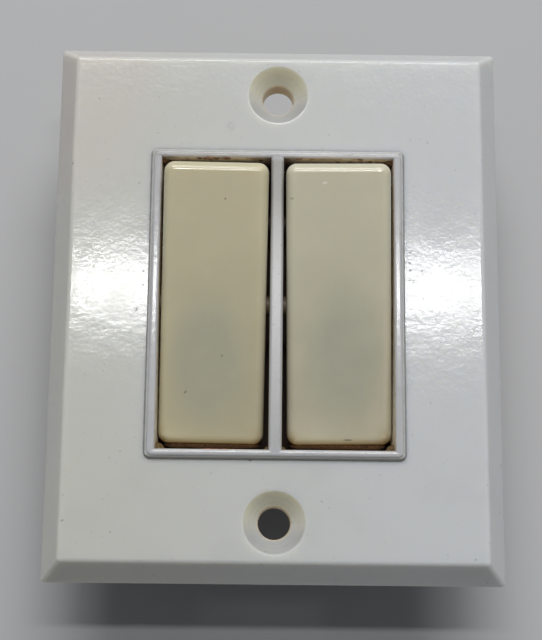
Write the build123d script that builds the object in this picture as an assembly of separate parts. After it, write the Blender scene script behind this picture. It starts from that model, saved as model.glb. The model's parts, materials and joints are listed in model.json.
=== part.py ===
from build123d import *
import os
from math import cos, radians, sin

# A double light switch: a bevelled wall plate with two tall rockers side by side in a raised bezel.
# It lies face up: +Z comes out of the face, +Y is up the wall and +X is to the right.
# The origin is midway between the two fixing holes, in the plane of the wall, where the plate's
# rim sits. Lengths are in millimetres and angles in degrees.

# Front plate
plate_width = 70.0
plate_height = 85.0
plate_depth = 6.0
plate_corner = 0.6
lip_height = 1.0
bevel_inset = 3.1
face_corner = 0.5
face_edge = 0.7
plate_wall = 2.0
slab_thickness = 2.2
rib_thickness = 1.2
rib_drop = 1.0
rib_spacing = 24.0

# Fixing holes of the plate
fixing_spacing = 67.0
fixing_hole_radius = 2.45
countersink_radius = 4.75
countersink_depth = 2.9
fixing_boss_wall = 3.0

# Bezel frame, which is made round the rockers
bezel_corner = 0.85
bezel_proud = 1.0
bezel_edge = 0.45
mullion_width = 2.0
side_rail = 1.3
end_rail = 1.1
flange_reach = 2.0
flange_end_reach = 1.4
flange_thickness = 1.6
rail_below_pivot = 4.1

# Rockers
rocker_width = 16.1
rocker_length = 43.2
rocker_side_gap = 0.45
rocker_end_gap = 1.15
rocker_rise = 3.8
rocker_sink = 0.1
rocker_corner = 1.6
rocker_edge = 1.4
rocker_skirt = 5.0
rocker_wall = 1.4
rocker_top = 1.6
rocker_tilt = 10.0
left_skew = -0.6
right_skew = 0.75
left_shift = -0.1
right_shift = 0.12
trunnion_drop = 0.3
rocker_web = 1.2
cheek_radius = 2.5
trunnion_radius = 1.5
trunnion_length = 1.1
stem_radius = 2.8
stem_reach = 8.0

# Plunger and its spring
plunger_radius = 1.95
plunger_reach = 11.8
plunger_length = 7.8
spigot_radius = 1.1
spigot_length = 1.4
spring_radius = 1.55
spring_wire = 0.22
spring_wire_sides = 8
spring_turns = 4

# See-saw lever with its contact
lever_tilt = 9.0
lever_width = 7.0
lever_length = 18.0
lever_thickness = 1.0
lever_above_axis = 0.3
lever_corner = 1.0
lever_cheek_length = 3.6
lever_cheek_drop = 1.5
lever_cheek_thickness = 0.8
fulcrum_radius = 0.6
groove_radius = 0.8
contact_offset = 8.0
contact_radius = 1.6
contact_height = 0.8
rivet_radius = 0.8
rivet_head_radius = 1.15
rivet_head_height = 0.3
rivet_head_slope = 0.15
fixed_contact_radius = 1.7
fixed_contact_dome = 5.0

# Terminals
strip_thickness = 0.8
strip_bend = 0.4
terminal_width = 5.0
switched_strip_start = 5.5
terminal_leg = 13.4
terminal_end = 20.0
terminal_screw_offset = 17.0
terminal_screw_radius = 1.45
terminal_screw_length = 2.8
terminal_head_radius = 2.9
terminal_head_height = 2.0
clamp_length = 6.0
clamp_thickness = 0.9
clamp_lip = 0.8

# Base housing
base_side_wall = 1.8
base_corner = 1.5
rear_block_inset = 1.8
fulcrum_stand = 3.95
floor_thickness = 2.0
pocket_depth = 6.0
pocket_width = 15.0
pocket_inner_wall = 1.8
rear_block_start = 10.5
partition_thickness = 1.8
bearing_post_width = 3.0
guide_rib_height = 1.0
guide_rib_width = 0.8
stop_near = 6.4
stop_far = 7.9

# Ears, bosses and screws that hold the base to the plate
ear_inset = 7.3
ear_neck = 0.55
ear_radius = 3.2
ear_thickness = 2.5
housing_screw_radius = 1.1
housing_screw_grip = 2.9
housing_head_radius = 2.4
housing_head_height = 1.7
screw_slot_width = 0.7
screw_slot_depth = 0.8
screw_head_chamfer = 0.45
screw_tip_chamfer = 0.4

# How far a cutting shape runs past the face that it cuts
overshoot = 1.0

# Clearances
window_clearance = 0.15
locating_clearance = 0.2
bearing_clearance = 0.15
sliding_clearance = 0.1
screw_clearance = 0.05
stop_clearance = 0.15
plunger_clearance = 0.05

# Heights and places that follow from the sizes above
slab_under = plate_depth - slab_thickness
base_rim = slab_under - flange_thickness
bezel_top = plate_depth + bezel_proud
pivot_height = bezel_top - rocker_sink - rocker_rise
rail_foot = pivot_height - rail_below_pivot
partition_top = rail_foot - locating_clearance
window_width = rocker_width + 2 * rocker_side_gap
window_length = rocker_length + 2 * rocker_end_gap
bezel_width = 2 * (window_width + side_rail) + mullion_width
bezel_height = window_length + 2 * end_rail
rocker_offset = (mullion_width + window_width) / 2
flange_width = bezel_width + 2 * flange_reach
flange_height = bezel_height + 2 * flange_end_reach
well_width = bezel_width + 2 * locating_clearance
well_length = bezel_height + 2 * locating_clearance
base_width = well_width + 2 * base_side_wall
base_height = flange_height
ear_offset_x = base_width / 2 - ear_inset
ear_offset_y = base_height / 2 + ear_neck + ear_radius
lever_top = lever_above_axis + lever_thickness
fulcrum_height = pivot_height - plunger_reach - plunger_clearance - lever_top
floor_top = fulcrum_height - fulcrum_stand
floor_under = floor_top - floor_thickness
base_back = floor_under - pocket_depth
strip_top = floor_top + strip_thickness
lug_under = floor_under - strip_thickness
clamp_under = lug_under - clamp_thickness
stem_bore = plunger_radius + sliding_clearance
sides = {"left": -1, "right": 1}
skews = {"left": left_skew, "right": right_skew}
shifts = {"left": left_shift, "right": right_shift}


def prism(outline, bottom, top):
    """An outline drawn flat, raised from one height to another."""
    return Pos(0, 0, bottom) * extrude(outline, top - bottom)


def turned(profile):
    """A closed profile of radius and height, turned once about the Z axis."""
    return revolve(Plane.XZ * profile, Axis.Z)


def along_x(outline, width):
    """An outline drawn with X for Y and Y for Z, made this wide across the X axis."""
    return extrude(Plane.YZ * outline, width / 2, both=True)


def patch(x, y, width, length):
    """A rectangle in plan, by its centre and size."""
    return Pos(x, y) * Rectangle(width, length)


def strip_between(x_low, x_high, y_low, y_high):
    """A rectangle in plan, by its edges."""
    return patch((x_low + x_high) / 2, (y_low + y_high) / 2, x_high - x_low, y_high - y_low)


def bevelled_shell(inset, ceiling):
    """The plate's outer form, drawn in by an inset and cut off at a height."""
    width = plate_width - 2 * inset
    height = plate_height - 2 * inset
    draw_in = 2 * bevel_inset * (ceiling - lip_height) / (plate_depth - lip_height)
    foot = RectangleRounded(width, height, plate_corner)
    head = RectangleRounded(width - draw_in, height - draw_in, face_corner)
    slope = loft([Pos(0, 0, lip_height) * foot, Pos(0, 0, ceiling) * head], ruled=True)
    return prism(foot, 0, lip_height) + slope


def ear_places():
    """The four places where the base is screwed to the plate."""
    return [(x * ear_offset_x, y * ear_offset_y) for x in (-1, 1) for y in (-1, 1)]


def front_plate():
    outside = bevelled_shell(0, plate_depth)
    rim = outside.faces().sort_by(Axis.Z)[-1].edges()
    plate = fillet(rim, face_edge) - bevelled_shell(plate_wall, slab_under)

    boss = Circle(fixing_hole_radius + fixing_boss_wall)
    countersink = turned(make_face(Polyline(
        (0, -overshoot),
        (fixing_hole_radius, -overshoot),
        (fixing_hole_radius, plate_depth - countersink_depth),
        (countersink_radius, plate_depth),
        (countersink_radius, plate_depth + overshoot),
        (0, plate_depth + overshoot),
        close=True,
    )))
    pilot = Circle(housing_screw_radius + screw_clearance)
    pilot_top = housing_screw_grip + screw_clearance
    for y in (-fixing_spacing / 2, fixing_spacing / 2):
        plate += Pos(0, y) * prism(boss, 0, slab_under)
    for x, y in ear_places():
        plate += Pos(x, y) * (prism(Circle(ear_radius), 0, slab_under) - prism(pilot, 0, pilot_top))
    rib_reach = plate_width / 2 - plate_wall
    rib_root = flange_width / 2 + locating_clearance
    for x in (-1, 1):
        for y in (-rib_spacing / 2, rib_spacing / 2):
            rib = patch(x * (rib_reach + rib_root) / 2, y, rib_reach - rib_root, rib_thickness)
            plate += prism(rib, rib_drop, slab_under) & outside
    for y in (-fixing_spacing / 2, fixing_spacing / 2):
        plate -= Pos(0, y) * countersink

    opening = RectangleRounded(
        bezel_width + 2 * window_clearance,
        bezel_height + 2 * window_clearance,
        bezel_corner + window_clearance,
    )
    return plate - prism(opening, slab_under - overshoot, plate_depth + overshoot)


def bezel_frame():
    frame = prism(RectangleRounded(bezel_width, bezel_height, bezel_corner), rail_foot, bezel_top)
    frame += prism(Rectangle(flange_width, flange_height), base_rim, slab_under)
    for side in sides.values():
        frame -= prism(patch(side * rocker_offset, 0, window_width, window_length), rail_foot, bezel_top)
    frame = fillet(frame.faces().sort_by(Axis.Z)[-1].edges(), bezel_edge)

    # The rockers' trunnions drop into these slots from behind.
    slot_radius = trunnion_radius + bearing_clearance
    slot = Pos(0, pivot_height) * Circle(slot_radius)
    slot += strip_between(-slot_radius, slot_radius, rail_foot - overshoot, pivot_height)
    return frame - along_x(slot, bezel_width)


def screw_blind_hole():
    """The hole in the base's floor that takes the tip of a terminal screw."""
    hole_top = clamp_under + terminal_screw_length + screw_clearance
    return prism(Circle(terminal_screw_radius + screw_clearance), floor_under - overshoot, hole_top)


def base_housing():
    body = prism(RectangleRounded(base_width, base_height, base_corner), floor_under, base_rim)
    body -= prism(Rectangle(well_width, well_length), floor_top, base_rim)
    partition = prism(Rectangle(partition_thickness, well_length), floor_top, partition_top)
    post_top = pivot_height - trunnion_radius - sliding_clearance
    body += partition + prism(Rectangle(partition_thickness, bearing_post_width), floor_top, post_top)
    post_face = bezel_width / 2 - side_rail + sliding_clearance

    guide_near = terminal_width / 2 + sliding_clearance
    guide_far = guide_near + guide_rib_width
    guide_top = floor_top + guide_rib_height
    stop_top = lever_underside(stop_far) - stop_clearance
    leg_gap = strip_thickness / 2 + strip_bend + sliding_clearance
    leg_slot = Rectangle(terminal_width + 2 * sliding_clearance, 2 * leg_gap)
    block_width = base_width - 2 * rear_block_inset
    block_far = base_height / 2
    for side in sides.values():
        post = strip_between(post_face, well_width / 2, -bearing_post_width / 2, bearing_post_width / 2)
        body += prism(mirror(post, Plane.YZ) if side < 0 else post, floor_top, post_top)
        centre = side * rocker_offset
        for edge in (-1, 1):
            rib_x = centre + edge * (guide_near + guide_far) / 2
            guides = patch(rib_x, 0, guide_rib_width, 2 * (terminal_leg - 2 * leg_gap))
            body += prism(guides, floor_top, guide_top)
            stop_middle = -(stop_near + stop_far) / 2
            stop = patch(rib_x, stop_middle, guide_rib_width, stop_far - stop_near)
            body += prism(stop, floor_top, stop_top)

    block_length = block_far - rear_block_start
    block = prism(Rectangle(block_width, block_length), base_back, floor_under)
    pocket_near = rear_block_start + pocket_inner_wall
    pocket_length = block_far + overshoot - pocket_near
    pocket = prism(Rectangle(pocket_width, pocket_length), base_back, floor_under)
    for end in (-1, 1):
        body += Pos(0, end * (rear_block_start + block_length / 2)) * block
        for side in sides.values():
            centre = side * rocker_offset
            body -= Pos(centre, end * (pocket_near + pocket_length / 2)) * pocket
            body -= Pos(centre, end * terminal_leg) * prism(leg_slot, floor_under, floor_top)
            body -= Pos(centre, end * terminal_screw_offset) * screw_blind_hole()

    for x, y in ear_places():
        outline = Pos(x, y) * Circle(ear_radius)
        inner = base_height / 2 - base_side_wall / 2
        outline += patch(x, (inner * (1 if y > 0 else -1) + y) / 2, 2 * ear_radius, abs(y) - inner)
        outline -= Pos(x, y) * Circle(housing_screw_radius + bearing_clearance)
        body += prism(outline, -ear_thickness, 0)
    return body


def rocker():
    """A rocker in its own frame: its trunnions on the X axis and its face level."""
    skirt_foot = rocker_rise - rocker_skirt
    middle = Pos(0, trunnion_drop)
    outline = middle * RectangleRounded(rocker_width, rocker_length, rocker_corner)
    cap = prism(outline, skirt_foot, rocker_rise)
    cap = fillet(cap.faces().sort_by(Axis.Z)[-1].edges(), rocker_edge)
    inner_width = rocker_width - 2 * rocker_wall
    inner_length = rocker_length - 2 * rocker_wall
    ceiling = rocker_rise - rocker_top
    hollow = middle * RectangleRounded(inner_width, inner_length, rocker_corner - rocker_wall)
    cap -= prism(hollow, skirt_foot, ceiling)

    cheek = Circle(cheek_radius)
    cheek_pair = along_x(cheek, rocker_width) - along_x(cheek, inner_width)
    trunnions = along_x(Circle(trunnion_radius), rocker_width + 2 * trunnion_length)
    trunnions -= along_x(Circle(trunnion_radius), inner_width)
    web = prism(Rectangle(rocker_width - rocker_wall, rocker_web), skirt_foot, ceiling)
    stem = prism(Circle(stem_radius), -stem_reach, ceiling)
    bore = prism(Circle(stem_bore), -stem_reach, ceiling)
    return cap + cheek_pair + trunnions + web + stem - bore


def plunger():
    """A plunger on the Z axis of its rocker's frame, with a round tip and a spigot for its spring."""
    top = plunger_length - plunger_reach
    tip_centre = plunger_radius - plunger_reach
    side = Polyline(
        (plunger_radius, tip_centre),
        (plunger_radius, top),
        (spigot_radius, top),
        (spigot_radius, top + spigot_length),
        (0, top + spigot_length),
        (0, -plunger_reach),
    )
    tip = CenterArc((0, tip_centre), plunger_radius, -90, 90)
    return turned(make_face(side + tip))


def plunger_spring():
    """The coil spring between the plunger's shoulder and the top of the stem's bore.

    Its thin wire has a few flats in place of a round section, which keeps its surface simple.
    """
    low = plunger_length - plunger_reach + spring_wire + screw_clearance
    high = rocker_rise - rocker_top - spring_wire - screw_clearance
    coil = Helix((high - low) / spring_turns, high - low, spring_radius)
    wire = Plane(origin=coil @ 0, z_dir=coil % 0) * RegularPolygon(spring_wire, spring_wire_sides)
    return Pos(0, 0, low) * sweep(wire, path=coil, is_frenet=True)


def lever_underside(distance):
    """Height of the tipped-down lever's underside, this far out from its fulcrum."""
    slope = radians(lever_tilt)
    return fulcrum_height + (lever_above_axis - distance * sin(slope)) / cos(slope)


def contact_lever():
    """A lever in its own frame: the fulcrum on the X axis, the strip just above it."""
    plate = RectangleRounded(lever_width, lever_length, lever_corner)
    plate -= Pos(0, contact_offset) * Circle(rivet_radius + screw_clearance)
    lever = prism(plate, lever_above_axis, lever_top)
    cheek_x = (lever_width - lever_cheek_thickness) / 2
    for edge in (-1, 1):
        cheek = patch(edge * cheek_x, 0, lever_cheek_thickness, lever_cheek_length)
        lever += prism(cheek, lever_above_axis - lever_cheek_drop, lever_top)
    return lever - along_x(Circle(groove_radius), lever_width - 2 * lever_cheek_thickness)


def moving_contact():
    """The riveted button under the lever's end, in the lever's frame."""
    foot = lever_above_axis - contact_height
    head = lever_top + rivet_head_height
    profile = make_face(Polyline(
        (0, foot),
        (contact_radius, foot),
        (contact_radius, lever_above_axis),
        (rivet_radius, lever_above_axis),
        (rivet_radius, lever_top),
        (rivet_head_radius, lever_top),
        (rivet_head_radius - rivet_head_slope, head),
        (0, head),
        close=True,
    ))
    return Pos(0, contact_offset) * turned(profile)


def fixed_contact_top():
    """Top height of the domed contact, whose ball lies just clear of the closed moving contact."""
    slope = radians(lever_tilt)
    face = lever_above_axis - contact_height
    below_face = (face - stop_clearance - fixed_contact_dome) / cos(slope)
    ball_centre = fulcrum_height + below_face - contact_offset * sin(slope) / cos(slope)
    return ball_centre + fixed_contact_dome


def fixed_contact():
    """A domed button on the switched strip, with its rivet shank through the strip."""
    top = fixed_contact_top()
    ball = Pos(0, 0, top - fixed_contact_dome) * Sphere(fixed_contact_dome)
    button = prism(Circle(fixed_contact_radius), strip_top, top + overshoot) & ball
    return Pos(0, contact_offset) * (button + prism(Circle(rivet_radius), floor_top, strip_top))


def bent_strip(corners):
    """A strip of metal of the terminals' width, bent along corners of Y and Z at its mid-thickness."""
    path = FilletPolyline(*corners, radius=strip_bend + strip_thickness / 2)
    return along_x(trace(path, strip_thickness), terminal_width)


def terminal_tail(start):
    """The corners of a strip from its start, along the floor, down a slot and out along the pocket."""
    along_floor = floor_top + strip_thickness / 2
    along_pocket = floor_under - strip_thickness / 2
    return [
        (start, along_floor),
        (terminal_leg, along_floor),
        (terminal_leg, along_pocket),
        (terminal_end, along_pocket),
    ]


def lug_hole():
    hole = Circle(terminal_screw_radius + screw_clearance)
    return Pos(0, terminal_screw_offset) * prism(hole, lug_under - overshoot, floor_under + overshoot)


def common_terminal():
    """The strip that carries the lever: its inner end is turned up and curled into the fulcrum."""
    strip = bent_strip([(0, fulcrum_height)] + terminal_tail(0))
    fulcrum = along_x(Pos(0, fulcrum_height) * Circle(fulcrum_radius), terminal_width)
    return mirror(strip + fulcrum - lug_hole(), Plane.XZ)


def switched_terminal():
    """The strip under the fixed contact."""
    hole = Circle(rivet_radius + screw_clearance)
    rivet_hole = Pos(0, contact_offset) * prism(hole, floor_top - overshoot, strip_top + overshoot)
    return bent_strip(terminal_tail(switched_strip_start)) - lug_hole() - rivet_hole


def slotted_screw(shank_radius, shank_length, head_radius, head_height):
    """A screw with the seat of its head at the origin, its tip up and its slotted head below."""
    screw = turned(make_face(Polyline(
        (0, shank_length),
        (shank_radius - screw_tip_chamfer, shank_length),
        (shank_radius, shank_length - screw_tip_chamfer),
        (shank_radius, 0),
        (head_radius, 0),
        (head_radius, screw_head_chamfer - head_height),
        (head_radius - screw_head_chamfer, -head_height),
        (0, -head_height),
        close=True,
    )))
    slot = Rectangle(2 * (head_radius + overshoot), screw_slot_width)
    return screw - prism(slot, -head_height, screw_slot_depth - head_height)


def wire_clamp():
    """The saddle that a terminal screw draws up against its lug, with a lip each side of the lug."""
    lip_near = terminal_width / 2 + sliding_clearance
    width = 2 * (lip_near + clamp_lip)
    plate = Rectangle(width, clamp_length)
    clamp = prism(plate, clamp_under, lug_under)
    lips = plate - Rectangle(2 * lip_near, clamp_length)
    clamp += prism(lips, lug_under, floor_under - bearing_clearance)
    hole = Circle(terminal_screw_radius + bearing_clearance)
    return clamp - prism(hole, clamp_under, lug_under)


def rocker_frame(name):
    """Where a rocker's own frame lies: tipped with its upper end out, a little askew in its window."""
    place = Pos(sides[name] * rocker_offset + shifts[name], 0, pivot_height)
    return place * Rot(0, 0, skews[name]) * Rot(rocker_tilt, 0, 0)


def lever_frame(name):
    """Where a lever's own frame lies, tipped the other way so that its upper end is down."""
    return Pos(sides[name] * rocker_offset, 0, fulcrum_height) * Rot(-lever_tilt, 0, 0)


def mechanism(name):
    """A rocker and the pieces behind it, each at its place."""
    beside = Pos(sides[name] * rocker_offset, 0)
    return {
        f"rocker_{name}": rocker_frame(name) * rocker(),
        f"plunger_{name}": rocker_frame(name) * plunger(),
        f"plunger_spring_{name}": rocker_frame(name) * plunger_spring(),
        f"contact_lever_{name}": lever_frame(name) * contact_lever(),
        f"moving_contact_{name}": lever_frame(name) * moving_contact(),
        f"common_terminal_{name}": beside * common_terminal(),
        f"switched_terminal_{name}": beside * switched_terminal(),
        f"fixed_contact_{name}": beside * fixed_contact(),
    }


def terminal_fasteners():
    """The screw and the clamp at each of the four terminals."""
    pieces = {}
    places = [(x * rocker_offset, y * terminal_screw_offset) for y in (1, -1) for x in (-1, 1)]
    screw = slotted_screw(
        terminal_screw_radius, terminal_screw_length, terminal_head_radius, terminal_head_height
    )
    for number, (x, y) in enumerate(places, start=1):
        pieces[f"terminal_screw_{number}"] = Pos(x, y, clamp_under) * screw
        pieces[f"wire_clamp_{number}"] = Pos(x, y) * wire_clamp()
    return pieces


def housing_fasteners():
    """The four screws that draw the base up to the plate."""
    screw = slotted_screw(
        housing_screw_radius, ear_thickness + housing_screw_grip, housing_head_radius, housing_head_height
    )
    return {
        f"housing_screw_{number}": Pos(x, y, -ear_thickness) * screw
        for number, (x, y) in enumerate(ear_places(), start=1)
    }


def all_pieces():
    pieces = {
        "front_plate": front_plate(),
        "bezel_frame": bezel_frame(),
        "base_housing": base_housing(),
    }
    for name in sides:
        pieces.update(mechanism(name))
    pieces.update(terminal_fasteners())
    pieces.update(housing_fasteners())
    return pieces


def main():
    os.makedirs("parts", exist_ok=True)
    for name, piece in all_pieces().items():
        export_step(piece, f"parts/{name}.step")


main()
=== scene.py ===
import json
import math

import bmesh
import bpy
from mathutils import Matrix, Vector


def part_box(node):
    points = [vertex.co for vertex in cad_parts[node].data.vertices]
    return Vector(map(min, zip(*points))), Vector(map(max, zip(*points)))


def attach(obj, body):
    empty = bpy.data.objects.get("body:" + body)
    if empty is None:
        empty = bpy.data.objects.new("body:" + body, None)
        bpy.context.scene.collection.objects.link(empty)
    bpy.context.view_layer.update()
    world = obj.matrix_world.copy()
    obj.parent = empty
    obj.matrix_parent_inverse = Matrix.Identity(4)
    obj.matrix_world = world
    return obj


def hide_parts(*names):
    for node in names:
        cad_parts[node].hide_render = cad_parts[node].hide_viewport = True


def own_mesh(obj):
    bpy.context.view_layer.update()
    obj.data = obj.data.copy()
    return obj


# A double light switch with a white plate, lying face up on a pale floor.
# Everything is in metres in the switch's own frame: +Z out of the face, +Y up the wall.
# Sizes named in millimetres are turned into metres by MM.
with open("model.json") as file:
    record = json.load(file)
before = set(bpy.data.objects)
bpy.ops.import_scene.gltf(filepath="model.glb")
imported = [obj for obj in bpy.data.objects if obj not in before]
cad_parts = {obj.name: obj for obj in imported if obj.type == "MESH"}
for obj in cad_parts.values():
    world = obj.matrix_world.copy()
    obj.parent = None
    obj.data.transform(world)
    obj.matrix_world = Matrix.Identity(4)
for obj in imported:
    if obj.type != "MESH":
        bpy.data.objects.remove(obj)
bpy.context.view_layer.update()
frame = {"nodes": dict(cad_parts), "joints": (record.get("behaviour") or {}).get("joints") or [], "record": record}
nodes = frame["nodes"]
MM = 0.001
SIDES = ("left", "right")

# Places that the finishes and the added pieces line up with, in millimetres
PLATE_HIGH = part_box("front_plate")[1] / MM
BEZEL_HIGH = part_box("bezel_frame")[1] / MM
BASE_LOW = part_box("base_housing")[0] / MM
MOUNTS = {mount["name"]: mount for mount in frame["record"]["mounts"]}
JOINTS = {joint["name"]: joint for joint in frame["joints"]}
HINGES = {side: Vector(JOINTS[f"rocker_{side}_tilt"]["pos_m"]) / MM for side in SIDES}
HOLE_OFFSET = MOUNTS["fixing_holes"]["dims"]["spacing_y_mm"] / 2
HOLE_RADIUS = MOUNTS["fixing_holes"]["dims"]["hole_r_mm"]
SINK_RADIUS = 4.75
FLANGE_REACH = Vector((2.0, 1.4))
BEZEL_HALF = BEZEL_HIGH.xy - FLANGE_REACH
SIDE_RAIL = 1.3
END_RAIL = 1.1
WINDOW_WIDTH = 17.0
WINDOW_SIDE = BEZEL_HALF.x - SIDE_RAIL
WINDOW_END = BEZEL_HALF.y - END_RAIL
MULLION_HALF = WINDOW_SIDE - WINDOW_WIDTH
ROCKER_HALF_WIDTH = 8.05
ROCKER_TILT = math.radians(10)

# The sloping foot round the bezel, in millimetres
FOOT_REACH = 0.44
FOOT_SLOPE = 0.53
FOOT_RISE = 0.78
FOOT_WALL = 0.05
FOOT_CORNER = 1.0
FOOT_CORNER_SEGMENTS = 6
FOOT_LIFT = 0.01


class Value:
    """A number that varies over a surface. Its operators add the Math nodes that work it out."""

    def __init__(self, finish, socket):
        self.finish = finish
        self.socket = socket

    def __add__(self, other):
        return self.finish.math("ADD", self, other)

    def __sub__(self, other):
        return self.finish.math("SUBTRACT", self, other)

    def __mul__(self, other):
        return self.finish.math("MULTIPLY", self, other)

    def __truediv__(self, other):
        return self.finish.math("DIVIDE", self, other)

    def __pow__(self, other):
        return self.finish.math("POWER", self, other)

    def __abs__(self):
        return self.finish.math("ABSOLUTE", self)

    def sign(self):
        return self.finish.math("SIGN", self)

    def above(self, other):
        """The larger of the two values."""
        return self.finish.math("MAXIMUM", self, other)

    def wave(self, length):
        """A sine of this value, from -1 to 1, that repeats every length."""
        return self.finish.math("SINE", self * (2 * math.pi / length))

    __radd__ = __add__
    __rmul__ = __mul__


class Finish:
    """A material being made. Its patterns read the object's own coordinates, in millimetres."""

    def __init__(self, name, **constants):
        self.material = bpy.data.materials.new(name)
        self.material.use_nodes = True
        self.tree = self.material.node_tree
        self.shader = self.tree.nodes["Principled BSDF"]
        for key, value in constants.items():
            self.socket(key).default_value = value
        place = self.node("ShaderNodeTexCoord", out="Object")
        self.place = self.node(
            "ShaderNodeVectorMath", {"operation": "SCALE"}, {"Vector": place, "Scale": 1 / MM}
        )
        parts = self.node("ShaderNodeSeparateXYZ", inputs={0: self.place}, out=None)
        self.x, self.y, self.z = (Value(self, output) for output in parts.outputs)

    def socket(self, key):
        """The shader's socket for a keyword, such as Base Color for base_color."""
        return self.shader.inputs[key.replace("_", " ").title()]

    def node(self, kind, settings=None, inputs=None, out=0):
        """Adds a node: its settings first, then its sockets' values or links. Gives one output."""
        made = self.tree.nodes.new(kind)
        for key, value in (settings or {}).items():
            setattr(made, key, value)
        for key, value in (inputs or {}).items():
            if isinstance(value, Value):
                self.tree.links.new(value.socket, made.inputs[key])
            else:
                made.inputs[key].default_value = value
        return made if out is None else Value(self, made.outputs[out])

    def math(self, operation, first, second=0.0):
        return self.node("ShaderNodeMath", {"operation": operation}, {0: first, 1: second})

    def step(self, value, low, high):
        """0 below low and 1 above high, with a smooth rise between. low may be the larger."""
        return self.node(
            "ShaderNodeMapRange",
            {"interpolation_type": "SMOOTHSTEP"},
            {"Value": value, "From Min": low, "From Max": high},
        )

    def noise(self, size, detail=2.0, stretch=(1, 1, 1), offset=(0, 0, 0)):
        """Cloudy noise from 0 to 1 whose blotches are about this many millimetres across."""
        placed = self.node(
            "ShaderNodeMapping",
            inputs={"Vector": self.place, "Location": offset, "Scale": stretch},
        )
        return self.node(
            "ShaderNodeTexNoise", inputs={"Vector": placed, "Scale": 1 / size, "Detail": detail}
        )

    def mix(self, factor, first, second):
        """From the first colour to the second, as the factor goes from 0 to 1."""
        colors = [c if isinstance(c, Value) else (*c, 1) for c in (first, second)]
        return self.node(
            "ShaderNodeMix",
            {"data_type": "RGBA", "clamp_factor": True},
            {0: factor, 6: colors[0], 7: colors[1]},
            out=2,
        )

    def spot(self, x, y, width, length, turn=0.0, soft=0.5):
        """1 within an ellipse seen from the front, falling to 0 at its edge."""
        turn = math.radians(turn)
        right = self.x - x
        up = self.y - y
        across = (right * math.cos(turn) + up * math.sin(turn)) / (width / 2)
        along = (up * math.cos(turn) - right * math.sin(turn)) / (length / 2)
        return self.step(across ** 2 + along ** 2, 1, (1 - soft) ** 2)

    def marks(self, color, shade, places, soft=0.7):
        """Lays marks of one shade on a colour. Each: x, y, width, length, turn, strength."""
        for x, y, width, length, turn, strength in places:
            mark = self.spot(x, y, width, length, turn, soft)
            color = self.mix(mark * strength, color, shade)
        return color

    def bump(self, height, depth, normal=None):
        """The normal of a surface whose height varies, by a depth in millimetres."""
        inputs = {"Height": height, "Distance": depth * MM}
        if normal:
            inputs["Normal"] = normal
        return self.node("ShaderNodeBump", inputs=inputs)

    def set(self, **links):
        """Links values to the shader's own sockets and gives the material."""
        for key, value in links.items():
            self.tree.links.new(value.socket, self.socket(key))
        return self.material


def hole_distance(finish):
    """Distance from the nearer fixing hole's axis, in millimetres."""
    along = abs(finish.y) - HOLE_OFFSET
    return (finish.x ** 2 + along ** 2) ** 0.5


def beyond_bezel(finish):
    """How far a point lies outside the bezel's outline, in millimetres, or under 0 within it."""
    return (abs(finish.x) - BEZEL_HALF.x).above(abs(finish.y) - BEZEL_HALF.y)


# Light goes a little way into these plastics, which softens their edges
DEPTH = {
    "Subsurface_Weight": 1.0,
    "Subsurface_Scale": 2.5 * MM,
    "Subsurface_Radius": (1.0, 0.92, 0.75),
}
BEZEL_DEPTH = {**DEPTH, "Subsurface_Scale": 0.8 * MM}

# The moulded white plate
PLATE_WARM = (0.635, 0.635, 0.59)
PLATE_COOL = (0.66, 0.675, 0.68)
PLATE_PINK = (0.675, 0.635, 0.60)
PLATE_YELLOWED = (0.80, 0.78, 0.65)
PLATE_GREY = (0.42, 0.42, 0.41)
BORE_BROWN = (0.74, 0.61, 0.42)
# Near black, for the narrow gaps by the mullion and the rockers' trunnions: grime with painted shade
GRIME_AND_GAP_SHADE = (0.075, 0.036, 0.018)
SPECK = (0.10, 0.085, 0.065)
RING_SPACING = 0.62
RIPPLE_DEPTH = 0.017
PEEL_DEPTH = 0.010
RING_DEPTH = 0.010

# Each mark: x, y, width, length, turn in degrees, strength
PLATE_SPECKS = [
    (-20.5, 4.6, 0.5, 0.45, 20, 0.85),
    (-20.5, 2.4, 0.6, 0.5, 40, 0.95),
    (-21.4, -1.5, 0.45, 0.9, -20, 0.95),
    (-21.2, -2.1, 0.3, 0.3, 0, 0.6),
    (-32.0, 21.8, 0.35, 0.5, 0, 0.5),
    (-31.4, -33.5, 0.6, 0.4, 30, 0.45),
    (29.8, -38.6, 0.5, 0.4, 0, 0.35),
    (20.6, 8.1, 0.8, 0.35, 40, 0.5),
    (20.5, 6.4, 0.55, 0.5, 20, 0.9),
    (20.6, 5.2, 0.7, 0.55, 30, 0.95),
    (20.5, 3.7, 0.4, 0.8, -10, 0.8),
    (21.1, 3.4, 0.4, 0.8, 0, 0.85),
    (22.4, 5.1, 0.45, 0.6, 0, 0.85),
    (22.6, 4.6, 0.7, 0.3, 10, 0.5),
    (22.5, 0.7, 0.4, 0.4, 0, 0.5),
    (21.6, -2.1, 1.1, 0.3, -30, 0.35),
    (24.3, -2.4, 1.3, 0.25, 10, 0.35),
    (-1.2, -37.7, 0.6, 0.4, 0, 0.5),
    (-3.7, -24.3, 0.6, 0.5, 0, 0.7),
    (-6.2, 17.6, 0.3, 0.3, 0, 0.5),
]
PLATE_SCRATCHES = [
    (20.6, -12.4, 1.6, 0.18, 75, 0.35),
    (25.6, -24.2, 2.6, 0.16, 40, 0.25),
    (-24.5, 9.5, 3.0, 0.14, 15, 0.2),
    (14.0, 30.5, 4.0, 0.14, -35, 0.18),
]


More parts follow.
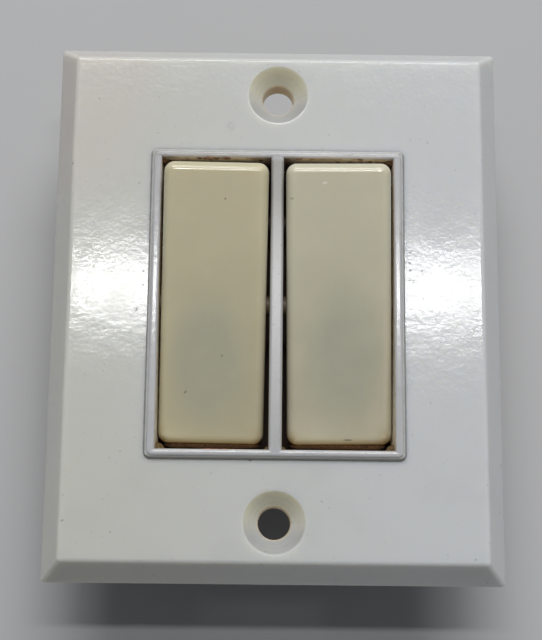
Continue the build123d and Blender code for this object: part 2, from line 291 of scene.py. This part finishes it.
def plate_white():
    finish = Finish("plate_white_moulding", **DEPTH)
    cloud = finish.noise(9, 3)
    color = finish.mix(finish.step(finish.x, -36, 32), PLATE_WARM, PLATE_COOL)
    color = finish.mix(finish.spot(-33, 36, 34, 50, soft=1.0) * 0.7, color, PLATE_PINK)
    color = finish.mix(finish.step(cloud, 0.45, 0.8) * 0.12, color, PLATE_GREY)

    # A grey bruise above the left rocker, and the specks and hair scratches of use
    bruise = finish.spot(-7.4, 28.2, 1.7, 2.0) * finish.step(finish.noise(0.8), 0.25, 0.6)
    color = finish.mix(bruise * 0.30, color, PLATE_GREY)
    color = finish.marks(color, SPECK, PLATE_SPECKS)
    color = finish.marks(color, PLATE_GREY, PLATE_SCRATCHES)
    dust = finish.step(finish.noise(0.55, 1, offset=(7, 3, 0)), 0.74, 0.80)
    color = finish.mix(dust * 0.35, color, SPECK)

    # Yellowed countersinks with turned rings, and dirt held round their edges
    hole = hole_distance(finish)
    sink = finish.step(hole, SINK_RADIUS + 0.2, SINK_RADIUS - 0.3)
    above_hole = finish.y.sign() * (abs(finish.y) - HOLE_OFFSET)
    color = finish.mix(sink * finish.step(above_hole, 1.5, -3.0) * 0.75, color, PLATE_GREY)
    color = finish.mix(sink * finish.step(above_hole, -2.5, 2.5), color, PLATE_YELLOWED)
    rim = finish.step(abs(hole - SINK_RADIUS - 0.6), 0.30, 0.0)
    rim = rim * finish.step(finish.noise(2.5), 0.45, 0.7)
    color = finish.mix(rim * 0.22, color, PLATE_YELLOWED)
    bore = finish.step(hole, HOLE_RADIUS + 0.25, HOLE_RADIUS + 0.05)
    color = finish.mix(bore * 0.8, color, BORE_BROWN)

    # Dirt in the joint round the bezel
    joint = finish.step(beyond_bezel(finish), FOOT_REACH + 0.25, FOOT_REACH)
    patchy = finish.step(finish.noise(1.6, 3), 0.45, 0.75)
    color = finish.mix(joint * patchy * 0.15, color, SPECK)

    scuff = finish.noise(0.35, 4, stretch=(1, 0.25, 1))
    rough = 0.07 + 0.05 * finish.step(cloud, 0.35, 0.75) + 0.05 * scuff + 0.3 * sink
    ripple = finish.noise(1.9, 2)
    peel = finish.noise(0.6, 3, offset=(0, 9, 0))
    rings = finish.step(hole, SINK_RADIUS + 0.3, SINK_RADIUS - 0.1) * hole.wave(RING_SPACING)
    normal = finish.bump(ripple, RIPPLE_DEPTH)
    normal = finish.bump(peel, PEEL_DEPTH, normal)
    normal = finish.bump(rings, RING_DEPTH, normal)
    return finish.set(base_color=color, roughness=rough, normal=normal)


# The cooler white bezel, with years of dirt, painted light and painted shade inside its windows
BEZEL_WHITE = (0.51, 0.51, 0.52)
BEZEL_PALE = (0.565, 0.565, 0.575)
MULLION_DARKER = (0.345, 0.34, 0.315)
LIT_WALL_STAIN = (0.85, 0.76, 0.58)
WALL_DIRT = (0.30, 0.17, 0.075)
BEZEL_PEEL_DEPTH = 0.016


def bezel_white():
    finish = Finish("bezel_white_moulding", **BEZEL_DEPTH)
    cloud = finish.noise(5, 3)
    color = finish.mix(cloud, BEZEL_WHITE, BEZEL_PALE)

    # The mullion is rougher, and darker towards its upper end; the left of the top rail is darker too
    mullion = finish.step(abs(finish.x), MULLION_HALF + 0.6, MULLION_HALF - 0.1)
    mullion = mullion * finish.step(abs(finish.y), WINDOW_END, WINDOW_END - 0.8)
    darker_rail_end = finish.step(finish.y, WINDOW_END, WINDOW_END + 0.4) * finish.step(finish.x, 3, -9)
    color = finish.mix(mullion * (0.3 + 0.7 * finish.step(finish.y, 4, 20)), color, MULLION_DARKER)
    color = finish.mix(darker_rail_end * 0.45, color, MULLION_DARKER)

    # The windows' walls are stained and darker in the corners, and paler than the bezel's white: painted light
    within = finish.step(beyond_bezel(finish), -0.4, -0.6)
    inside = within * finish.step(finish.z, BEZEL_HIGH.z - 0.15, BEZEL_HIGH.z - 0.6)
    dirt = finish.noise(1.4, 4)
    across = abs(abs(finish.x) - HINGES["right"].x)
    corner = finish.step(across, WINDOW_WIDTH / 2 - 1.3, WINDOW_WIDTH / 2)
    corner = corner * finish.step(abs(finish.y), WINDOW_END - 1.75, WINDOW_END - 0.05)
    wall_stain_light_and_shade = finish.mix(finish.step(dirt, 0.50, 0.78).above(corner * 0.6), LIT_WALL_STAIN, WALL_DIRT)
    # Near black on the mullion's walls: painted shade of the narrow gaps there, with grime
    wall_stain_light_and_shade = finish.mix(mullion * 0.9, wall_stain_light_and_shade, GRIME_AND_GAP_SHADE)
    color = finish.mix(inside * 0.9, color, wall_stain_light_and_shade)
    lip = within * finish.step(abs(finish.z - BEZEL_HIGH.z + 0.5), 0.3, 0.1)
    color = finish.mix(lip * finish.step(dirt, 0.4, 0.6) * 0.5, color, WALL_DIRT)

    # A scuff on the upper left corner, and fine dust
    scuffed = finish.spot(-19.2, 24.4, 1.6, 1.3, soft=0.6) * finish.step(dirt, 0.35, 0.6)
    dust = finish.step(finish.noise(0.45, 1), 0.70, 0.76)
    color = finish.mix(scuffed * 0.5 + dust * 0.3, color, SPECK)

    normal = finish.bump(finish.noise(0.8, 3), BEZEL_PEEL_DEPTH)
    rough = 0.09 + 0.08 * cloud + 0.12 * mullion + 0.4 * inside
    return finish.set(base_color=color, roughness=rough, normal=normal)


# The foot is darker along its lower side: painted shade, mottled
FOOT_WHITE = (0.62, 0.62, 0.61)
FOOT_GREYED = (0.52, 0.51, 0.48)
FOOT_PAINTED_SHADE = (0.39, 0.375, 0.345)


def foot_white():
    finish = Finish("bezel_foot_moulding")
    cloud = finish.noise(1.5, 4)
    color = finish.mix(finish.step(cloud, 0.35, 0.75), FOOT_WHITE, FOOT_GREYED)
    # Painted shade along the lower side
    shaded_low_side = finish.step(finish.y, -BEZEL_HALF.y + 0.3, -BEZEL_HALF.y)
    color = finish.mix(shaded_low_side * (0.75 + 0.25 * cloud), color, FOOT_PAINTED_SHADE)
    return finish.set(base_color=color, roughness=0.3 + 0.1 * cloud)


# The ivory rockers
SHADOW_PATCH = (0.44, 0.445, 0.36)
SKIRT_STAIN = (0.66, 0.56, 0.38)
SKIRT_BROWN = (0.50, 0.27, 0.09)
CORNER_STAIN = (0.36, 0.23, 0.07)
NICK_PALE = (0.88, 0.86, 0.80)
ROCKER_PEEL_DEPTH = 0.018

# Each rocker's upper colour and its lower colour, darker by painted shade, its shadowed patch (x, y, width,
# length) and its marks
ROCKER_LOOKS = {
    "left": {
        "upper": (0.61, 0.56, 0.40),
        "shaded_lower": (0.525, 0.49, 0.35),
        "patch": (-10.4, -9.0, 14.0, 25.0),
        "specks": [
            (-8.0, 15.2, 0.35, 0.5, 0, 0.6),
            (-8.2, -8.4, 0.4, 0.5, 0, 0.5),
            (-13.7, -13.9, 0.8, 0.4, 40, 0.5),
        ],
        "nicks": [],
    },
    "right": {
        "upper": (0.63, 0.60, 0.47),
        "shaded_lower": (0.53, 0.50, 0.385),
        "patch": (10.4, -8.7, 14.5, 28.0),
        "specks": [
            (2.2, 15.4, 0.8, 0.4, 0, 0.35),
            (11.1, -20.8, 1.8, 0.35, 0, 0.6),
        ],
        "nicks": [(7.2, 17.8, 1.0, 0.45, 10, 0.7)],
    },
}


def rocker_ivory(side, upper, shaded_lower, patch, specks, nicks):
    finish = Finish(f"rocker_ivory_{side}", **DEPTH)
    hinge = HINGES[side]
    height = (finish.z - hinge.z) * math.cos(ROCKER_TILT) - finish.y * math.sin(ROCKER_TILT)
    aside = abs(finish.x - hinge.x)

    cloud = finish.noise(7, 3)
    # The face darkens towards its lower end: painted shade
    color = finish.mix(finish.step(finish.y, 16, -18), upper, shaded_lower)
    color = finish.mix(finish.step(cloud, 0.4, 0.7) * 0.25, color, tuple(1.1 * c for c in upper))
    haze = 0.7 + 0.3 * finish.step(finish.noise(5, 2), 0.25, 0.65)
    color = finish.mix(finish.spot(*patch, soft=1.0) * haze * 0.62, color, SHADOW_PATCH)

    # Brown stains gather at the low corners and along the low edge
    corners = finish.step(aside, 5.0, 7.9) * finish.step(finish.y, -18.0, -21.6)
    corners = corners * finish.step(finish.noise(2.2), 0.3, 0.6)
    color = finish.mix(corners * 0.6, color, CORNER_STAIN)
    low_edge = finish.step(finish.y, -20.2, -21.5) * finish.step(height, 3.8, 2.8)
    color = finish.mix(low_edge * 0.9, color, CORNER_STAIN)
    color = finish.marks(color, SPECK, specks)
    color = finish.marks(color, NICK_PALE, nicks)

    # The skirt is browner at its lower end. Beside the mullion and on its trunnions it is near black: painted
    # shade of the narrow gaps, with grime
    skirt = finish.step(height, 2.4, 1.5)
    edge_dirt = finish.step(height, 3.2, 2.0) * finish.step(finish.noise(1.2, 4), 0.45, 0.7)
    color = finish.mix(edge_dirt * 0.5, color, CORNER_STAIN)
    color = finish.mix(skirt, color, SKIRT_STAIN)
    color = finish.mix(skirt * finish.step(finish.y, -20.5, -21.0), color, SKIRT_BROWN)
    # Painted shade on the trunnions and beside the mullion
    trunnion = finish.step(aside, ROCKER_HALF_WIDTH + 0.02, ROCKER_HALF_WIDTH + 0.1)
    beside_mullion = finish.step(abs(finish.x), 4.0, 2.0)
    color = finish.mix(skirt * beside_mullion.above(trunnion) * 0.8, color, GRIME_AND_GAP_SHADE)

    normal = finish.bump(finish.noise(1.1, 3), ROCKER_PEEL_DEPTH)
    rough = 0.07 + 0.08 * cloud + 0.4 * skirt
    return finish.set(base_color=color, roughness=rough, normal=normal)


def plain(name, color, rough, metal=0.0):
    """A plain plastic, or a bright metal where metal is 1."""
    finish = Finish(name, Metallic=metal)
    cloud = finish.noise(2, 3)
    shade = finish.mix(cloud, color, tuple(0.8 * c for c in color))
    return finish.set(base_color=shade, roughness=rough + 0.1 * cloud)


def dirt_finish(name, color, pale):
    finish = Finish(name)
    grain = finish.noise(0.3, 3)
    shade = finish.mix(finish.step(grain, 0.35, 0.7), color, pale)
    rough = 0.7 + 0.2 * grain
    return finish.set(base_color=shade, roughness=rough, normal=finish.bump(grain, 0.08))


def dress(node, material):
    nodes[node].data.materials.clear()
    nodes[node].data.materials.append(material)


brass = plain("terminal_brass", (0.74, 0.55, 0.27), 0.3, 1.0)
silver = plain("contact_silver_alloy", (0.78, 0.77, 0.74), 0.28, 1.0)
zinc = plain("zinc_plated_steel", (0.62, 0.62, 0.6), 0.32, 1.0)
spring = plain("spring_wire", (0.5, 0.5, 0.52), 0.25, 1.0)
nylon = plain("plunger_nylon_natural", (0.62, 0.6, 0.52), 0.4)

dress("front_plate", plate_white())
dress("bezel_frame", bezel_white())
dress("base_housing", plain("base_phenolic", (0.15, 0.075, 0.045), 0.42))
for side in SIDES:
    dress(f"rocker_{side}", rocker_ivory(side, **ROCKER_LOOKS[side]))
    dress(f"plunger_{side}", nylon)
    dress(f"plunger_spring_{side}", spring)
    for node in ("contact_lever", "common_terminal", "switched_terminal"):
        dress(f"{node}_{side}", brass)
    for node in ("moving_contact", "fixed_contact"):
        dress(f"{node}_{side}", silver)
for number in range(1, 5):
    for node in ("terminal_screw", "wire_clamp", "housing_screw"):
        dress(f"{node}_{number}", zinc)


def keep(name, shape, material, body="switch_body"):
    """Turns a shape into a piece that rides on a body of the switch."""
    bmesh.ops.recalc_face_normals(shape, faces=shape.faces)
    mesh = bpy.data.meshes.new(name)
    shape.to_mesh(mesh)
    shape.free()
    mesh.polygons.foreach_set("use_smooth", [True] * len(mesh.polygons))
    mesh.materials.append(material)
    piece = bpy.data.objects.new(name, mesh)
    bpy.context.scene.collection.objects.link(piece)
    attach(piece, body)
    return piece


MERGE_DISTANCE = 0.0001


def coil_spring(side):
    """The coil in a rocker, shaped as its solid, which rides on the rocker."""
    shape = bmesh.new()
    shape.from_mesh(nodes[f"plunger_spring_{side}"].data)
    bmesh.ops.remove_doubles(shape, verts=shape.verts, dist=MERGE_DISTANCE * MM)
    coil = keep(f"coil_spring_{side}", shape, spring, f"rocker_{side}")
    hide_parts(f"plunger_spring_{side}")
    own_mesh(coil)


def bezel_foot():
    """A thin sloping ring, from the plate's face up to the rounding of the bezel's edge."""
    shape = bmesh.new()
    bmesh.ops.create_grid(shape, x_segments=1, y_segments=1, size=1)
    reach = BEZEL_HALF + Vector((FOOT_REACH, FOOT_REACH))
    bmesh.ops.scale(shape, verts=shape.verts, vec=(reach.x * MM, reach.y * MM, 1))
    bmesh.ops.translate(shape, verts=shape.verts, vec=(0, 0, (PLATE_HIGH.z + FOOT_LIFT) * MM))
    bmesh.ops.bevel(
        shape, geom=shape.verts[:], offset=FOOT_CORNER * MM, offset_type="OFFSET",
        affect="VERTICES", segments=FOOT_CORNER_SEGMENTS, profile=0.5, material=-1,
    )
    middle = shape.faces[:]
    bmesh.ops.inset_region(
        shape, faces=middle, thickness=FOOT_SLOPE * MM, use_boundary=True, use_even_offset=True,
    )
    bmesh.ops.translate(shape, verts=middle[0].verts[:], vec=(0, 0, FOOT_RISE * MM))
    bmesh.ops.delete(shape, geom=middle, context="FACES")
    bmesh.ops.solidify(shape, geom=shape.faces[:], thickness=FOOT_WALL * MM)
    keep("bezel_foot", shape, foot_white())


# Crumbs of dirt on the windows' end walls. Each: x, height, half width, half thickness, half height
TOP_CRUMBS = [
    (-12.2, 6.3, 0.45, 0.16, 0.35),
    (-10.9, 6.45, 0.9, 0.24, 0.42),
    (-9.6, 6.35, 0.5, 0.20, 0.35),
    (-8.0, 6.5, 0.7, 0.22, 0.35),
    (-2.6, 5.6, 0.35, 0.14, 0.4),
    (-17.7, 4.9, 0.8, 0.55, 0.9),
    (-16.4, 4.6, 0.9, 0.35, 0.7),
    (14.5, 5.5, 0.35, 0.22, 0.35),
    (12.9, 6.5, 0.5, 0.12, 0.25),
    (17.6, 5.0, 0.9, 0.55, 0.9),
    (16.2, 4.7, 0.8, 0.35, 0.7),
    (3.4, 6.5, 0.6, 0.12, 0.25),
]
LOW_CRUMBS = [
    (-WINDOW_SIDE, 3.6, 1.4, 1.3, 1.6),
    (WINDOW_SIDE, 3.6, 1.3, 1.25, 1.6),
    (-MULLION_HALF, 4.0, 0.7, 0.8, 1.1),
    (MULLION_HALF, 4.0, 0.7, 0.8, 1.1),
]
RUST_CRUMBS = [
    (-11.1, 5.25, 0.6, 0.18, 0.35),
    (-10.1, 5.45, 1.0, 0.24, 0.45),
    (-8.8, 5.30, 0.8, 0.22, 0.40),
    (-7.6, 5.45, 0.9, 0.22, 0.45),
    (-6.4, 5.25, 0.8, 0.20, 0.35),
    (-5.4, 5.45, 0.5, 0.18, 0.30),
]
CRUMB_LEAN = 0.2
LEAN_CHANGE = 7

# The ridge of dirt under the lower end of each rocker. Each lump: x from its middle, half width
SKIRT_LUMPS = [(0.0, 7.4), (-5.2, 2.2), (-1.5, 4.0), (3.0, 3.2), (5.4, 2.0)]
SKIRT_END = -21.5
LUMP_DROP = 2.1
LUMP_HALF_THICKNESS = 0.55
LUMP_HALF_HEIGHT = 1.1


def crumbs(name, places, wall, material, body="switch_body"):
    """Squashed lumps, half sunk into a wall that faces along y, each with its own lean."""
    shape = bmesh.new()
    for x, height, wide, thick, tall in places:
        size = Matrix.Diagonal((wide * MM, thick * MM, tall * MM, 1))
        lean = Matrix.Rotation(CRUMB_LEAN / wide * math.sin(LEAN_CHANGE * x), 4, "Y")
        place = Matrix.Translation(Vector((x, wall, height)) * MM) @ lean @ size
        bmesh.ops.create_icosphere(shape, subdivisions=2, radius=1, matrix=place)
    keep(name, shape, material, body)


def skirt_dirt(side, material):
    hinge = HINGES[side]
    places = [
        (hinge.x + shift, hinge.z - LUMP_DROP, wide, LUMP_HALF_THICKNESS, LUMP_HALF_HEIGHT)
        for shift, wide in SKIRT_LUMPS
    ]
    crumbs(f"dirt_under_rocker_{side}", places, SKIRT_END, material, f"rocker_{side}")


for side in SIDES:
    coil_spring(side)
bezel_foot()
brown_dirt = dirt_finish("brown_dirt", (0.12, 0.055, 0.025), (0.34, 0.21, 0.11))
ochre_dirt = dirt_finish("ochre_dirt", (0.085, 0.05, 0.017), (0.19, 0.125, 0.05))
rust_dirt = dirt_finish("rusty_dirt", (0.19, 0.04, 0.013), (0.36, 0.11, 0.04))
skirt_grime = dirt_finish("skirt_grime", (0.06, 0.024, 0.007), (0.14, 0.07, 0.022))
crumbs("dirt_at_window_tops", TOP_CRUMBS, WINDOW_END, brown_dirt)
crumbs("dirt_in_low_corners", LOW_CRUMBS, -WINDOW_END, ochre_dirt)
crumbs("rusty_dirt_at_window_foot", RUST_CRUMBS, -WINDOW_END, rust_dirt)
for side in SIDES:
    skirt_dirt(side, skirt_grime)


# The floor, whose size is in metres and whose gap under the base is in millimetres
FLOOR_SIZE = 6.0
FLOOR_GAP = 0.02
FLOOR_GREY = (0.49, 0.49, 0.495)
FLOOR_PALE = (0.52, 0.52, 0.525)


def pale_floor():
    finish = Finish("pale_floor_paint", Roughness=0.75)
    return finish.set(base_color=finish.mix(finish.noise(60, 2), FLOOR_GREY, FLOOR_PALE))


def lay_floor():
    mesh = bpy.data.meshes.new("floor")
    shape = bmesh.new()
    bmesh.ops.create_grid(shape, x_segments=1, y_segments=1, size=FLOOR_SIZE / 2)
    bmesh.ops.translate(shape, verts=shape.verts, vec=(0, 0, (BASE_LOW.z - FLOOR_GAP) * MM))
    shape.to_mesh(mesh)
    shape.free()
    floor = bpy.data.objects.new("floor", mesh)
    bpy.context.scene.collection.objects.link(floor)
    mesh.materials.append(pale_floor())


# Each lamp: its angle from straight above in degrees, then metres, and watts
KEY_LAMP = {"angle": 37, "distance": 1.4, "width": 1.1, "length": 0.6, "aside": 0.08, "power": 13.8}
STRIP_LAMP = {
    "angle": 12.9, "distance": 0.6, "width": 0.27, "length": 0.026, "aside": 0.015, "power": 0.74,
}
SKY_COLOR = (0.9, 0.95, 1.0)
SKY_STRENGTH = 0.12


def lamp(name, angle, distance, width, length, aside, power):
    """A soft rectangular lamp above the upper edge, turned to face the switch."""
    angle = math.radians(angle)
    light = bpy.data.lights.new(name, "AREA")
    light.shape = "RECTANGLE"
    light.size = width
    light.size_y = length
    light.energy = power
    holder = bpy.data.objects.new(name, light)
    holder.location = (aside, distance * math.sin(angle), distance * math.cos(angle))
    holder.rotation_euler = (-angle, 0, 0)
    bpy.context.scene.collection.objects.link(holder)


def soft_sky():
    world = bpy.data.worlds.new("studio")
    world.use_nodes = True
    background = world.node_tree.nodes["Background"].inputs
    background["Color"].default_value = (*SKY_COLOR, 1)
    background["Strength"].default_value = SKY_STRENGTH
    bpy.context.scene.world = world


lay_floor()
lamp("key_lamp", **KEY_LAMP)
lamp("strip_lamp", **STRIP_LAMP)
soft_sky()
bpy.context.scene.view_settings.view_transform = "Standard"

# The camera, at the place in millimetres and the angle in degrees that the plate's edges in the
# photograph give
CAMERA_PLACE = Vector((-2.29, -43.70, 207.24))
CAMERA_TURN = (11.465, -0.547, 0.588)
CAMERA_LENS = 75.63
CAMERA_CLIP_START = 0.01

camera = bpy.data.objects.new("camera", bpy.data.cameras.new("camera"))
camera.location = CAMERA_PLACE * MM
camera.rotation_euler = [math.radians(angle) for angle in CAMERA_TURN]
camera.data.lens = CAMERA_LENS
camera.data.clip_start = CAMERA_CLIP_START
bpy.context.scene.collection.objects.link(camera)
bpy.context.scene.camera = camera
